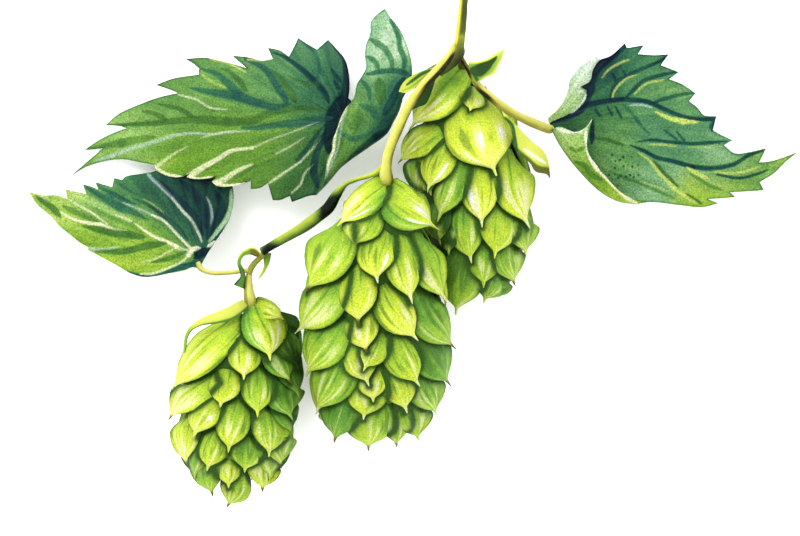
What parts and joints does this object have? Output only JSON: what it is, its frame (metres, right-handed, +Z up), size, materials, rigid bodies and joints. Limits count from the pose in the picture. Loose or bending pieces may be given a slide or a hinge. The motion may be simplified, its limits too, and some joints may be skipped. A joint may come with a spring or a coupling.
{
  "type": "hop bine",
  "caption": "Cut sprig of a climbing hop bine lying on a surface, with leafy overlapping cones, toothed leaves and thin stalks.",
  "frame": {"origin": "centre of the sprig's footprint, at the surface it lies on", "axes": "+Z up from the surface, +Y from the cone tips towards the cut end of the stem, +X from the left leaves towards the right leaf"},
  "size_m": [0.1534, 0.1039, 0.0366],
  "materials": {
    "stem": "olive green young stem with a reddish brown node, satin",
    "pale_stem": "pale yellow-green young stem, satin",
    "petiole": "olive yellow leaf stalk, satin",
    "leaf": "matt green leaf, darker and bluer near its base, paler beneath",
    "bract": "papery bright yellow-green bract with pale ribs and darker base",
    "stipule": "thin yellow-green stipule with a dark middle"
  },
  "bodies": {
    "root": {"bine_stem": "stem", "lateral_stem": "pale_stem", "side_shoot": "stem", "pedicel_left": "pale_stem", "pedicel_right": "pale_stem", "petiole_right": "petiole", "petiole_upper_left": "petiole", "petiole_lower_left": "petiole", "leaf_upper_left": "leaf", "leaf_lower_left": "leaf", "leaf_right": "leaf", "cone_middle": "bract", "cone_left": "bract", "cone_right": "bract", "cone_left_horn_bract": "bract", "cone_right_wing_bract": "bract", "stipule_node_left": "stipule", "stipule_node_right": "stipule", "stipule_node_inner": "stipule", "stipule_hanging": "stipule", "stipule_curled": "stipule"}
  },
  "joints": []
}
